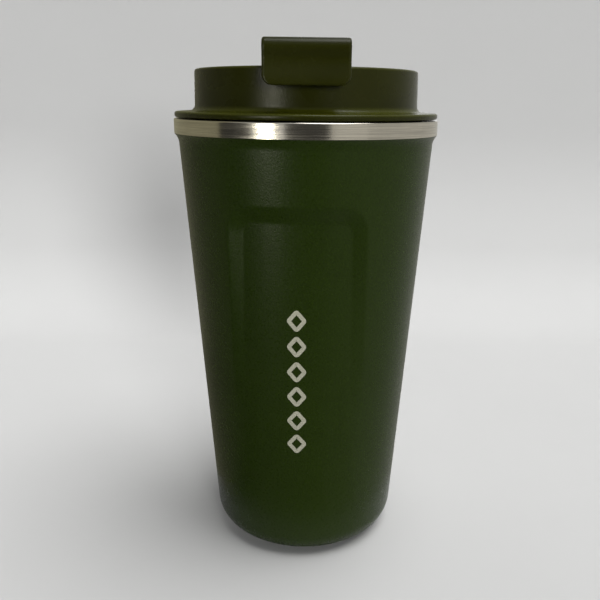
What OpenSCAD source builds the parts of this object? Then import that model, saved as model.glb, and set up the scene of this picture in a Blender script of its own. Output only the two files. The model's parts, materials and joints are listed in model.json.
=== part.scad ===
// Insulated travel mug: a double-walled steel cup and a quick-thread lid with a flip lever.
// Origin at the centre of the underside, +Z up, the lever's tab towards -Y.

/* [Cup] */
// Diameter of the bare steel rim
rim_d = 90; // [84:0.5:110]
// Diameter that the tapered wall has at its foot
base_d = 66.6; // [54:0.2:84]
// Height of the steel cup, without the pad under it
cup_h = 152; // [120:1:200]
// Thickness of the pressed steel sheet
sheet_t = 0.6; // [0.4:0.1:0.8]
// Clear space between the two walls
wall_space = 3.6; // [3:0.1:5]
// Outer radius where the wall turns into the base
corner_r = 9; // [6:0.5:11]
// Height of the bare steel band
band_h = 4.9; // [3:0.1:8]
// Thickness of the bare steel band
band_t = 0.8; // [0.6:0.1:1]
// How far the painted wall flares out to meet the band
flare_w = 1.5; // [1:0.1:2]
// Height of that flare
flare_h = 3.6; // [2.5:0.1:6]

/* [Grip] */
// Number of grip panels pressed into the wall
grip_count = 2; // [1:1:3]
// Turn of the panels from the front, in degrees
grip_turn = -4; // [-30:1:30]
// Angle that a panel's floor covers, in degrees
grip_span = 52; // [30:1:60]
// Depth of a panel at its top
grip_depth = 2; // [0.8:0.1:2.4]
// Height at which a panel runs out into the wall
grip_low = 55; // [30:1:70]
// Distance from the flare down to the top of a panel's ledge
grip_drop = 16.2; // [10:0.1:40]
// Height of the sloping ledge above the floor
grip_ledge = 5.3; // [3:0.1:7]

/* [Base] */
// Width of the shell's flat underside, from the foot's corner to the hole in it
foot_flat_w = 3.3; // [2:0.1:8]
// How far the base plate laps over the shell's underside
plate_lap = 3; // [2:0.1:3.2]
// How far the non-slip pad laps over the shell's underside
pad_lap = 3; // [2:0.1:3.2]
// Thickness of the non-slip pad
pad_t = 0.8; // [0.5:0.1:1.5]
// Space between the liner's floor and the base plate
floor_space = 6; // [5:0.5:10]
// Radius between the liner's wall and its floor
liner_corner_r = 8; // [5:0.5:12]
// Diameter of the getter pill
getter_d = 8; // [6:0.5:10]
// Thickness of the getter pill
getter_t = 2; // [1:0.1:3]
// Thickness of the getter's strap
strap_t = 0.4; // [0.3:0.1:0.6]
// Width of the getter's strap
strap_w = 4; // [3:0.5:6]
// Diameter of the dimple that holds the sealing bead
dimple_d = 8; // [6:0.5:10]
// Depth of that dimple
dimple_h = 0.8; // [0.6:0.1:1.2]
// Diameter of the evacuation hole
vacuum_hole_d = 1.6; // [1:0.1:2.5]
// Space between the dimple and the getter
getter_gap = 3; // [2:0.5:5]
// Length of each foot of the getter's strap
strap_foot = 2; // [1.5:0.5:3]

/* [Mouth and thread] */
// Width of the rim, from the mouth to its outer edge
lip_w = 4.8; // [4:0.1:6]
// Radius of the rounding on the rim's edges
lip_r = 0.5; // [0.2:0.1:0.8]
// Depth of the straight part of the mouth
mouth_h = 18.8; // [16:0.1:24]
// Height of the slope between liner and mouth
mouth_slope_h = 3.4; // [2:0.1:6]
// Wall of the plug
plug_t = 2.6; // [2:0.1:3]
// Depth of the plug below the rim
plug_h = 13.4; // [11:0.1:16]
// Number of thread starts
thread_starts = 3; // [2:1:4]
// Rise of the thread in one turn
thread_lead = 12; // [9:0.5:15]
// Angle that each thread ridge covers, in degrees
thread_arc = 100; // [60:5:110]
// Width of a ridge at its root
ridge_root_w = 2; // [1.4:0.1:2.2]
// Width of a ridge at its crest
ridge_crest_w = 1; // [0.6:0.1:1.2]
// Height of the mouth's ridges
mouth_ridge_h = 1.8; // [1.5:0.1:2.2]
// How far the plug's ridges reach behind the mouth's ridges
thread_bite = 0.5; // [0.3:0.1:0.8]

/* [Lid] */
// How far the flange's edge lies inside the rim's
flange_inset = 0.3; // [0:0.1:1]
// Thickness of the flange
flange_t = 2; // [1.5:0.1:3]
// Fall of the flange's top towards its edge
flange_fall = 0.4; // [0:0.1:0.6]
// Radius of the rounding on the flange's edges
edge_r = 0.8; // [0.3:0.1:0.8]
// Gap between the rim and the flange
flange_gap = 0.6; // [0.4:0.1:1.5]
// Wall of the plug's spigot, which the collar fits over
spigot_t = 1.08; // [0.8:0.01:1.5]
// Wall of the collar
collar_t = 2; // [1.6:0.1:2.4]
// Height of the collar's top above the flange's underside
collar_h = 15.1; // [12:0.1:20]
// Radius of the rounding on the collar's top edge
collar_top_r = 1.6; // [0.5:0.1:1.8]
// Radius of the hollow corner at the foot of the collar
collar_foot_r = 1.8; // [0.5:0.1:2.5]
// Depth of the recess in the lid's top
recess_h = 8.5; // [7:0.1:10]
// Thickness of the deck
deck_t = 2; // [1.5:0.1:3]
// Diameter of the drinking hole
drink_d = 10; // [9:0.5:12]
// Distance from the stopper's brim to the collar
drink_wall = 3.3; // [2:0.1:8]
// Diameter of the air hole
vent_d = 2; // [1:0.1:3]
// Distance of the air hole from the centre
vent_y = 4; // [2:0.5:6]
// Height of the sealing ring
seal_h = 2.4; // [2:0.1:3]
// Wall of the sealing ring's core
seal_core_t = 1.1; // [0.8:0.1:1.4]
// Thickness of the sealing ring's fins
fin_t = 0.7; // [0.5:0.1:0.8]
// Height of the bead that keeps the sealing ring on the plug
bead_h = 0.5; // [0.3:0.1:0.8]
// How far that bead stands out
bead_out = 0.9; // [0.5:0.1:1]

/* [Stoppers] */
// How far the stopper's brim laps over the deck
brim_w = 0.6; // [0.4:0.1:1.2]
// Thickness of the stopper's brim
brim_t = 1.6; // [1:0.1:2]
// Radial gap between the stopper's nose and the hole
nose_gap = 0.6; // [0.4:0.1:0.8]
// How far the nose reaches below the deck's top
nose_h = 1.2; // [0.8:0.1:1.8]
// Wall of the stopper's sleeve
sleeve_t = 0.8; // [0.6:0.1:1.2]
// Height of the sleeve
sleeve_h = 2.8; // [2:0.1:3.5]
// Height of the lever's boss above the deck
boss_rise = 2.7; // [2.2:0.1:3.5]
// How far the air hole's cap laps over the deck
vent_lap = 1.8; // [1.2:0.1:2.5]
// Wall of the cap's sleeve
vent_sleeve_t = 1; // [0.6:0.1:1.2]
// Height of the cap's sleeve
vent_sleeve_h = 1.6; // [1:0.1:2]
// Height of the lever's second boss above the deck
vent_boss_rise = 1.8; // [1.4:0.1:2.2]

/* [Flip lever] */
// Width of the lever and its tab
lever_w = 25.6; // [20:0.2:28]
// Width of the lever at its hinge
knuckle_w = 18; // [12:0.5:19]
// Wall of the lever
lever_t = 2; // [1.6:0.1:2.4]
// Height of the tab
tab_h = 13.2; // [11:0.1:15]
// How far the tab stands above the collar
tab_rise = 7.6; // [6:0.1:9]
// Thickness of the tab
tab_t = 2.3; // [1.8:0.1:3]
// Radius of the tab's lower corners
tab_corner_r = 3; // [1:0.1:4]
// Radius of the tab's top edge
tab_top_r = 2.8; // [1.5:0.1:3]
// How far the tab's lower lip kicks outward
tab_kick = 1.2; // [0:0.1:2]
// Distance of the hinge behind the centre
hinge_y = 16; // [12:0.5:20]
// Height of the hinge above the deck
hinge_h = 4.6; // [4.2:0.1:5]
// Wall of the lever's knuckle round its bore
knuckle_wall = 1.7; // [1.2:0.1:2]
// Diameter of the hinge pin
pin_d = 2.5; // [2:0.1:3]
// Width of each hinge ear
ear_w = 3; // [2:0.1:4]
// How far an ear's round head stands out past the knuckle
ear_out = 0.4; // [0:0.1:1]
// Height of the lever's skirts below the hinge's axis
skirt_drop = 0.4; // [0:0.1:1]
// Distance behind the collar's inner face at which the skirts begin
skirt_back = 3.6; // [2:0.1:5]
// Distance behind the collar's inner face at which the lever's top begins to fall
crest_back = 1.9; // [1:0.1:6]
// Level stretch of the lever's top in front of the hinge
flat_len = 8; // [6:0.5:12]
// Distance in front of the centre at which the lever begins to narrow
taper_y = 20; // [12:0.5:22]
// Width of the rib that stops the open lever
rib_w = 12; // [8:0.5:16]
// Thickness of that rib
rib_t = 2.2; // [1.6:0.1:3]
// Height of that rib above the hinge's axis
rib_rise = 2; // [1:0.1:3]
// Angle at which the lever meets its stop, in degrees
open_max = 110; // [95:1:130]

/* [Clearances] */
// Gap between pieces that move past each other
run_gap = 0.3; // [0.2:0.05:0.5]
// Radial clearance of the knuckle on the pin
knuckle_fit = 0.05; // [0.02:0.01:0.09]
// Radial clearance of fixed fits
seat_fit = 0.02; // [0.01:0.01:0.05]
// Gap between the tab and the collar
tab_gap = 1; // [0.8:0.1:2]
// Gap between the mouth's ridges and the plug's wall
thread_gap = 1; // [0.6:0.1:1.2]
// Height of the plug's ridges above its lower edge
thread_start = 0.4; // [0.2:0.1:1]

/* [Hidden] */
$fn = 96;
green = "#2c3a1c";
olive = "#4d5428";
steel = "#b9b4ab";
silicone = "#3a3c38";

// Cup, worked out from the sizes above
rim_r = rim_d / 2;
base_r = base_d / 2;
z_foot = pad_t;
z_rim = z_foot + cup_h;
z_band = z_rim - band_h;
z_neck = z_band - flare_h;
neck_r = rim_r - flare_w;
wall_slope = (neck_r - base_r) / (z_neck - z_foot);
wall_lean = atan(wall_slope);
flare_sweep = 2 * atan(flare_w / flare_h);
flare_r = flare_h / sin(flare_sweep);
z_plate = z_foot + sheet_t;
z_liner = z_plate + sheet_t + floor_space;
mouth_r = rim_r - lip_w;
z_mouth = z_rim - mouth_h;
z_slope = z_mouth - mouth_slope_h;
foot_hole_r = base_r - corner_r - foot_flat_w;
pad_r = foot_hole_r + pad_lap;
z_grip_top = z_neck - grip_drop;
z_grip_floor = z_grip_top - grip_ledge;
z_grip_low = z_foot + grip_low;
getter_y = dimple_d / 2 + getter_gap + getter_d / 2;

// Lid, worked out from the rim
z_flange = z_rim + flange_gap;
z_collar = z_flange + collar_h;
z_deck = z_collar - recess_h;
flange_r = rim_r - flange_inset;
plug_r = mouth_r - mouth_ridge_h - thread_gap;
plug_in_r = plug_r - plug_t;
plug_crest_r = plug_r + thread_gap + thread_bite;
collar_in_r = plug_in_r + spigot_t + seat_fit;
collar_r = collar_in_r + collar_t;
thread_pitch = thread_lead / thread_starts;
thread_rise = thread_lead * thread_arc / 360;
z_plug = z_rim - plug_h;
z_thread = z_plug + thread_start + ridge_root_w / 2 + thread_rise / 2;
seal_in_r = plug_r + run_gap;
seal_out_r = mouth_r - run_gap;
z_seal = z_flange - run_gap - seal_h;

// Stoppers, worked out from the holes
nose_r = drink_d / 2 - nose_gap;
boss_r = nose_r - sleeve_t;
stopper_r = drink_d / 2 + brim_w;
drink_y = collar_in_r - drink_wall - stopper_r;
z_boss = z_deck + boss_rise;
vent_cap_r = vent_d / 2 + vent_lap;
vent_boss_r = vent_cap_r - vent_sleeve_t;
z_vent_boss = z_deck + vent_boss_rise;

// Lever, worked out from the collar and the hinge
knuckle_r = pin_d / 2 + knuckle_fit + knuckle_wall;
z_hinge = z_deck + hinge_h;
z_tab = z_collar + tab_rise;
z_lip = z_tab - tab_h;
tab_back = -(collar_r + tab_gap);
tab_front = tab_back - tab_t;
ear_r = knuckle_r + ear_out;
ear_x = knuckle_w / 2 + run_gap;
pin_len = 2 * (ear_x + ear_w);
crest_y = -collar_in_r + crest_back;
flat_y = hinge_y - flat_len;
stop_lean = 180 - open_max;
stop_reach = (rib_rise + knuckle_r * cos(stop_lean)) / sin(stop_lean);
stop_y = hinge_y + stop_reach * cos(stop_lean) + knuckle_r * sin(stop_lean) + run_gap;

// Points along an arc about c from angle a to angle b, n steps
function arc(c, r, a, b, n = 12) =
    [for (i = [0:n]) c + r * [cos(a + (b - a) * i / n), sin(a + (b - a) * i / n)]];

// Radius of the painted wall's outer face at height z
function side_r(z) = base_r + wall_slope * (z - z_foot);

// Radius of the liner's inner face at height z
function liner_r(z) = side_r(z) - 2 * sheet_t - wall_space;

// The shell's corner, wall and flare, as a line set in by t
function shell_line(t) =
    let (cz = z_foot + corner_r,
         cr = side_r(cz) - corner_r / cos(wall_lean),
         fr = flare_r + t,
         end = asin(flare_h / fr))
    concat(arc([cr, cz], corner_r - t, -90, -wall_lean),
           arc([neck_r + flare_r, z_neck], fr, 180, 180 - end, 10));

// Radius of the grip panel's floor at height z
function floor_r(z) =
    let (top = side_r(z_grip_floor) - grip_depth, low = side_r(z_grip_low))
    low + (top - low) * (z - z_grip_low) / (z_grip_floor - z_grip_low);

// The blocks that press the grip panels in, grown by t for the inner face of the sheet
module grip_blocks(t) {
    run_out = 12;
    low = z_grip_low - run_out;
    span = grip_span + 2 * atan(t / neck_r);
    outside = rim_r + 10;
    for (i = [0:grip_count - 1])
        rotate([0, 0, -90 + grip_turn + i * 360 / grip_count - span / 2])
            rotate_extrude(angle = span)
                polygon([[floor_r(low) - t, low], [outside, low], [outside, z_grip_top],
                         [side_r(z_grip_top) - t, z_grip_top], [floor_r(z_grip_floor) - t, z_grip_floor]]);
}

module outer_shell() {
    core_r = foot_hole_r - 1;
    color(green) difference() {
        difference() {
            rotate_extrude()
                polygon(concat([[foot_hole_r, z_foot]], shell_line(0), [[foot_hole_r, z_band]]));
            grip_blocks(0);
        }
        difference() {
            rotate_extrude()
                polygon(concat([[core_r, z_plate]], shell_line(sheet_t),
                               [[last_r(shell_line(sheet_t)), z_band + 1], [core_r, z_band + 1]]));
            grip_blocks(sheet_t);
        }
    }
}

// Radius of the last point on a line
function last_r(line) = line[len(line) - 1][0];

// The liner's floor, corner, wall and mouth, as a line set out by t
function liner_line(t) =
    let (cz = z_liner + sheet_t + liner_corner_r,
         cr = liner_r(cz) - liner_corner_r / cos(wall_lean))
    concat([[0, z_liner + sheet_t - t]],
           arc([cr, cz], liner_corner_r + t, -90, -wall_lean),
           [[liner_r(z_slope) + t, z_slope], [mouth_r + t, z_mouth]]);

module inner_liner() {
    color(steel) union() {
        rotate_extrude()
            polygon(concat(liner_line(0),
                           arc([mouth_r + lip_r, z_rim - lip_r], lip_r, 180, 90, 4),
                           arc([rim_r - lip_r, z_rim - lip_r], lip_r, 90, 0, 4),
                           [[rim_r, z_band], [rim_r - band_t, z_band], [rim_r - band_t, z_rim - sheet_t],
                            [mouth_r + sheet_t, z_rim - sheet_t]],
                           reversed(liner_line(sheet_t))));
        for (i = [0:thread_starts - 1])
            rotate([0, 0, i * 360 / thread_starts])
                thread_ridge(mouth_r + sheet_t / 2, mouth_r - mouth_ridge_h, z_thread + thread_pitch / 2);
    }
}

function reversed(list) = [for (i = [len(list) - 1:-1:0]) list[i]];

// One thread ridge from radius root to radius crest, tilted to the thread's slope, its middle at height z
module thread_ridge(root, crest, z) {
    tilt = atan(thread_lead / (2 * PI * crest));
    translate([0, 0, z]) rotate([tilt, 0, 0]) rotate([0, 0, -thread_arc / 2])
        rotate_extrude(angle = thread_arc)
            polygon([[root, -ridge_root_w / 2], [crest, -ridge_crest_w / 2],
                     [crest, ridge_crest_w / 2], [root, ridge_root_w / 2]]);
}

module shell_base() {
    hole_r = vacuum_hole_d / 2;
    dimple_r = dimple_d / 2;
    plate_r = foot_hole_r + plate_lap;
    z_dimple = z_plate + dimple_h;
    color(steel) rotate_extrude()
        polygon([[hole_r, z_dimple], [dimple_r, z_dimple], [dimple_r, z_plate], [plate_r, z_plate],
                 [plate_r, z_plate + sheet_t], [dimple_r + sheet_t, z_plate + sheet_t],
                 [dimple_r + sheet_t, z_dimple + sheet_t], [hole_r, z_dimple + sheet_t]]);
}

module seal_bead() {
    color("#5a4a3c") translate([0, 0, z_plate])
        cylinder(r = dimple_d / 2 - seat_fit, h = dimple_h);
}

module getter() {
    color("#8f8f8c") translate([0, getter_y, z_liner - getter_t])
        cylinder(d = getter_d, h = getter_t);
}

module getter_strap() {
    span = getter_d + 2 * seat_fit;
    drop = getter_t + strap_t;
    color(steel) translate([0, getter_y, z_liner - drop]) union() {
        translate([-span / 2 - strap_t, -strap_w / 2, 0]) cube([span + 2 * strap_t, strap_w, strap_t]);
        for (side = [0, 1]) mirror([side, 0, 0]) {
            translate([span / 2, -strap_w / 2, 0]) cube([strap_t, strap_w, drop]);
            translate([span / 2, -strap_w / 2, drop - strap_t]) cube([strap_foot, strap_w, strap_t]);
        }
    }
}

module base_pad() {
    color(silicone) cylinder(r = pad_r, h = pad_t);
}

module lid_body() {
    color(olive) difference() {
        union() {
            lid_turned();
            hinge_ears();
            stop_rib();
        }
        translate([0, -drink_y, z_deck - deck_t - 1]) cylinder(d = drink_d, h = deck_t + 2);
        translate([0, -vent_y, z_deck - deck_t - 1]) cylinder(d = vent_d, h = deck_t + 2);
        translate([-pin_len / 2 - 1, hinge_y, z_hinge]) rotate([0, 90, 0])
            cylinder(r = pin_d / 2 + seat_fit, h = pin_len + 2);
    }
}

// Flange, collar and deck, turned in one
module lid_turned() {
    top = z_flange + flange_t;
    bevel = 0.2;
    rotate_extrude()
        polygon(concat([[collar_in_r, z_flange]],
                       arc([flange_r - edge_r, z_flange + edge_r], edge_r, -90, 0, 5),
                       arc([flange_r - edge_r, top - flange_fall - edge_r], edge_r, 0, 90, 5),
                       arc([collar_r + collar_foot_r, top + collar_foot_r], collar_foot_r, 270, 180, 6),
                       arc([collar_r - collar_top_r, z_collar - collar_top_r], collar_top_r, 0, 90, 6),
                       [[collar_in_r, z_collar - bevel], [collar_in_r, z_deck], [0, z_deck],
                        [0, z_deck - deck_t], [collar_in_r, z_deck - deck_t]]));
}

// The two ears that hold the hinge pin
module hinge_ears() {
    for (side = [0, 1]) mirror([side, 0, 0]) translate([ear_x, hinge_y, 0]) {
        translate([0, 0, z_hinge]) rotate([0, 90, 0]) cylinder(r = ear_r, h = ear_w);
        translate([0, -ear_r, z_deck - deck_t / 2]) cube([ear_w, 2 * ear_r, hinge_h + deck_t / 2]);
    }
}

// The rib that stops the open lever
module stop_rib() {
    translate([-rib_w / 2, stop_y, z_deck - deck_t / 2])
        cube([rib_w, rib_t, deck_t / 2 + hinge_h + rib_rise]);
}

module lid_plug() {
    spigot_r = plug_in_r + spigot_t;
    bead_r = plug_r + bead_out;
    z_bead = z_seal - run_gap - bead_h;
    bevel = 0.5;
    bead_bevel = 0.4;
    color(olive) union() {
        rotate_extrude()
            polygon([[plug_in_r, z_plug], [plug_r - bevel, z_plug], [plug_r, z_plug + bevel],
                     [plug_r, z_bead - bead_bevel], [bead_r, z_bead], [bead_r, z_bead + bead_h],
                     [plug_r, z_bead + bead_h], [plug_r, z_flange], [spigot_r, z_flange],
                     [spigot_r, z_deck - deck_t], [plug_in_r, z_deck - deck_t]]);
        for (i = [0:thread_starts - 1])
            rotate([0, 0, i * 360 / thread_starts])
                thread_ridge(plug_r - plug_t / 3, plug_crest_r, z_thread);
    }
}

module lid_seal() {
    core_r = seal_in_r + seal_core_t;
    root_t = fin_t + 0.2;
    top = z_seal + seal_h;
    color(silicone) rotate_extrude()
        polygon([[seal_in_r, z_seal], [core_r, z_seal], [seal_out_r, z_seal + fin_t / 2],
                 [seal_out_r, z_seal + fin_t], [core_r, z_seal + root_t], [core_r, top - root_t],
                 [seal_out_r, top - fin_t], [seal_out_r, top - fin_t / 2], [core_r, top], [seal_in_r, top]]);
}

module hinge_pin() {
    color(steel) translate([-pin_len / 2, hinge_y, z_hinge]) rotate([0, 90, 0])
        cylinder(d = pin_d, h = pin_len);
}

// Height of the lever's top at y: level behind the tab, easing down to the knuckle
function lever_top(y) =
    let (s = max(0, min(1, (flat_y - y) / (flat_y - crest_y))), low = z_hinge + knuckle_r)
    low + (z_tab - low) * (1 - cos(180 * s)) / 2;

// The line of the lever's top from y = a to y = b, lowered by t
function top_line(a, b, t = 0, n = 14) = [for (i = [0:n]) let (y = a + (b - a) * i / n) [y, lever_top(y) - t]];

// Side view of the lever and its tab, as [y, z]
function lever_side() =
    let (skirt = z_hinge - skirt_drop,
         bridge = z_collar + run_gap,
         inside = -collar_in_r + skirt_back,
         lip = 0.8,
         crease = 0.5,
         crease_h = 0.58 * tab_h)
    concat(arc([tab_front + tab_top_r, z_tab - tab_top_r], tab_top_r, 180, 90, 6),
           top_line(crest_y, flat_y),
           [[hinge_y, z_hinge + knuckle_r], [hinge_y, skirt], [inside, skirt], [inside, bridge],
            [tab_back, bridge], [tab_back - tab_kick, z_lip]],
           arc([tab_front - tab_kick + lip, z_lip + lip], lip, 270, 180, 4),
           [[tab_front + crease, z_lip + crease_h]]);

// Draws children given as [y, z] across the width w
module across(w) {
    translate([-w / 2, 0, 0]) rotate([90, 0, 90]) linear_extrude(w) children();
}

// Front view of the lever: a tall plate with rounded corners
module lever_front() {
    small = 0.8;
    half = lever_w / 2;
    low = z_lip;
    union() {
        translate([-half + tab_corner_r, low]) square([lever_w - 2 * tab_corner_r, tab_h]);
        translate([-half, low + tab_corner_r]) square([lever_w, tab_h - tab_corner_r - small]);
        translate([-half + small, low + tab_corner_r]) square([lever_w - 2 * small, tab_h - tab_corner_r]);
        for (side = [-1, 1]) {
            translate([side * (half - tab_corner_r), low + tab_corner_r]) circle(tab_corner_r);
            translate([side * (half - small), z_tab - small]) circle(small);
        }
    }
}

module flip_lever() {
    half = lever_w / 2;
    narrow = knuckle_w / 2;
    front = tab_front - 5;
    back = hinge_y + 4;
    hollow_back = hinge_y - knuckle_r - 3;
    z_low = z_deck - 5;
    color(olive) difference() {
        union() {
            difference() {
                intersection() {
                    across(lever_w) polygon(lever_side());
                    translate([0, hinge_y + 5, 0]) rotate([90, 0, 0])
                        linear_extrude(hinge_y + 5 - front) lever_front();
                    translate([0, 0, z_low]) linear_extrude(z_tab - z_low + 1)
                        polygon([[-half, front], [half, front], [half, -taper_y],
                                 [narrow, hinge_y - ear_r - 1], [narrow, back], [-narrow, back],
                                 [-narrow, hinge_y - ear_r - 1], [-half, -taper_y]]);
                }
                across(knuckle_w - 2 * lever_t)
                    polygon(concat([[tab_back, z_low]], top_line(tab_back, hollow_back, lever_t),
                                   [[hollow_back, z_low]]));
                across(lever_w - 2 * lever_t)
                    polygon(concat([[tab_back, z_low]], top_line(tab_back, -taper_y, lever_t),
                                   [[-taper_y, z_low]]));
            }
            translate([-knuckle_w / 2, hinge_y, z_hinge]) rotate([0, 90, 0])
                cylinder(r = knuckle_r, h = knuckle_w);
            translate([0, -drink_y, z_boss]) cylinder(r = boss_r, h = lever_top(-drink_y) - z_boss - 1);
            translate([0, -vent_y, z_vent_boss])
                cylinder(r = vent_boss_r, h = lever_top(-vent_y) - z_vent_boss - 1);
        }
        translate([-knuckle_w / 2 - 1, hinge_y, z_hinge]) rotate([0, 90, 0])
            cylinder(r = pin_d / 2 + knuckle_fit, h = knuckle_w + 2);
    }
}

module spout_stopper() {
    low = z_deck - nose_h;
    brim = z_deck + run_gap;
    top = z_boss + sleeve_h;
    bevel = 0.6;
    color(silicone) translate([0, -drink_y, 0]) rotate_extrude()
        polygon([[0, low], [nose_r - bevel, low], [nose_r, low + bevel], [nose_r, brim], [stopper_r, brim],
                 [stopper_r, brim + brim_t], [stopper_r - bevel, top], [boss_r + seat_fit, top],
                 [boss_r + seat_fit, z_boss], [0, z_boss]]);
}

module vent_plug() {
    low = z_deck + run_gap;
    top = z_vent_boss + vent_sleeve_h;
    bevel = 0.4;
    color(silicone) translate([0, -vent_y, 0]) rotate_extrude()
        polygon([[0, low], [vent_cap_r - bevel, low], [vent_cap_r, low + bevel], [vent_cap_r, top],
                 [vent_boss_r + seat_fit, top], [vent_boss_r + seat_fit, z_vent_boss], [0, z_vent_boss]]);
}

outer_shell();
inner_liner();
shell_base();
seal_bead();
getter();
getter_strap();
base_pad();
lid_body();
lid_plug();
lid_seal();
hinge_pin();
flip_lever();
spout_stopper();
vent_plug();
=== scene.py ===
"""Looks of an insulated travel mug, laid out as a Blender add-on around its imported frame. Metres throughout."""

import json
import math

import bpy
import numpy as np
from mathutils import Matrix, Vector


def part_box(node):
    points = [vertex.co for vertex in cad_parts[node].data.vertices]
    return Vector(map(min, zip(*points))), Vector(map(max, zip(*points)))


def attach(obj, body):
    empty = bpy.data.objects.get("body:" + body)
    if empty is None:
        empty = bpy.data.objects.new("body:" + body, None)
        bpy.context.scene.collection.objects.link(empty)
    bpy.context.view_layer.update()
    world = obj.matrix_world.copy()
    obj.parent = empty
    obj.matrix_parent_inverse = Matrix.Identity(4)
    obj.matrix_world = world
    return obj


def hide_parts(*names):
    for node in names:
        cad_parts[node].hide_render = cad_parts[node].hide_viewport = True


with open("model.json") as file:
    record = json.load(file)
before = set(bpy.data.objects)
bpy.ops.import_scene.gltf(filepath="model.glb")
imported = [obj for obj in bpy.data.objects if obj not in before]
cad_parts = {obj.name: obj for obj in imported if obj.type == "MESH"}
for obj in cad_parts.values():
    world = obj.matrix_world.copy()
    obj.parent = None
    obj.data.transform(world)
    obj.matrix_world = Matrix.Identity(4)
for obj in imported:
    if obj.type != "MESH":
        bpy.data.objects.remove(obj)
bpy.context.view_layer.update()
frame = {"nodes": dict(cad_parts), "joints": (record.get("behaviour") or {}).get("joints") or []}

bl_info = {
    "name": "Travel mug looks",
    "version": (1, 0, 0),
    "blender": (4, 5, 0),
    "location": "View3D > Sidebar > Mug",
    "description": "Builds the visible surfaces, finishes and studio of an insulated travel mug",
    "category": "Object",
}

MM = 0.001
TURN = 2 * math.pi
AROUND = 288  # steps round a turned piece
SHARP_EDGE, SHARP_BORE = 40, 32  # degrees between faces from which an edge is shaded sharp
EDGE_SHARE = 0.48  # how much of an edge one fillet may take
STRAIGHT = math.radians(89.5)  # half a corner's angle from which it counts as straight
FLAT_SPARE = 0.3 * MM  # length beside a fillet that keeps a flat's shading flat
ON_AXIS = 1e-9  # a radius below this lies on the axis
THREAD_STARTS = 3
DRINK_SHELF, VENT_SHELF = 2.7 * MM, 1.8 * MM  # where the lever's bosses end, above the deck
MADE = {}  # finishes made so far, by name


# ---- places taken from the frame

def low(node, axis):
    """Lowest coordinate of a frame node along an axis."""
    return float(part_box(node)[0][axis])


def high(node, axis):
    """Highest coordinate of a frame node along an axis."""
    return float(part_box(node)[1][axis])


def middle(node):
    """Centre of a frame node's box."""
    return (np.array(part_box(node)[0]) + np.array(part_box(node)[1])) / 2


RIM_R, RIM_Z = high("inner_liner", 0), high("inner_liner", 2)
LINER_Z = low("inner_liner", 2)
FOOT_Z, BAND_Z = low("outer_shell", 2), high("outer_shell", 2)
PAD_R, PAD_Z = high("base_pad", 0), high("base_pad", 2)
FLANGE_R, FLANGE_Z = high("lid_body", 0), low("lid_body", 2)
COLLAR_Z = high("lid_body", 2)
PLUG_Z, DECK_UNDER_Z = low("lid_plug", 2), high("lid_plug", 2)
SEAL_R, SEAL_LOW_Z, SEAL_TOP_Z = high("lid_seal", 0), low("lid_seal", 2), high("lid_seal", 2)
TAB_Y, TAB_Z = low("flip_lever", 1), high("flip_lever", 2)
LEVER_HALF = high("flip_lever", 0)
HINGE, SPOUT, VENT = middle("hinge_pin"), middle("spout_stopper"), middle("vent_plug")
PIN_R, PIN_HALF = high("hinge_pin", 2) - float(HINGE[2]), high("hinge_pin", 0)


# ---- sizes and colours a user would change

def number(name, description, default, **extra):
    """A number property."""
    return bpy.props.FloatProperty(name=name, description=description, default=default, **extra)


def length(name, description, millimetres):
    """A length property, given in millimetres."""
    return number(name, description, millimetres * MM, min=0.0, unit="LENGTH", subtype="DISTANCE", precision=5)


def angle(name, description, degrees):
    """An angle property, given in degrees."""
    return number(name, description, math.radians(degrees), unit="ROTATION", subtype="ANGLE")


def amount(name, description, value):
    """A plain factor between 0 and 1."""
    return number(name, description, value, min=0.0, max=1.0, subtype="FACTOR")


def colour(name, description, value):
    """A colour property, in linear light."""
    return bpy.props.FloatVectorProperty(name=name, description=description, default=value,
                                         min=0.0, max=1.0, size=3, subtype="COLOR")


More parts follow.
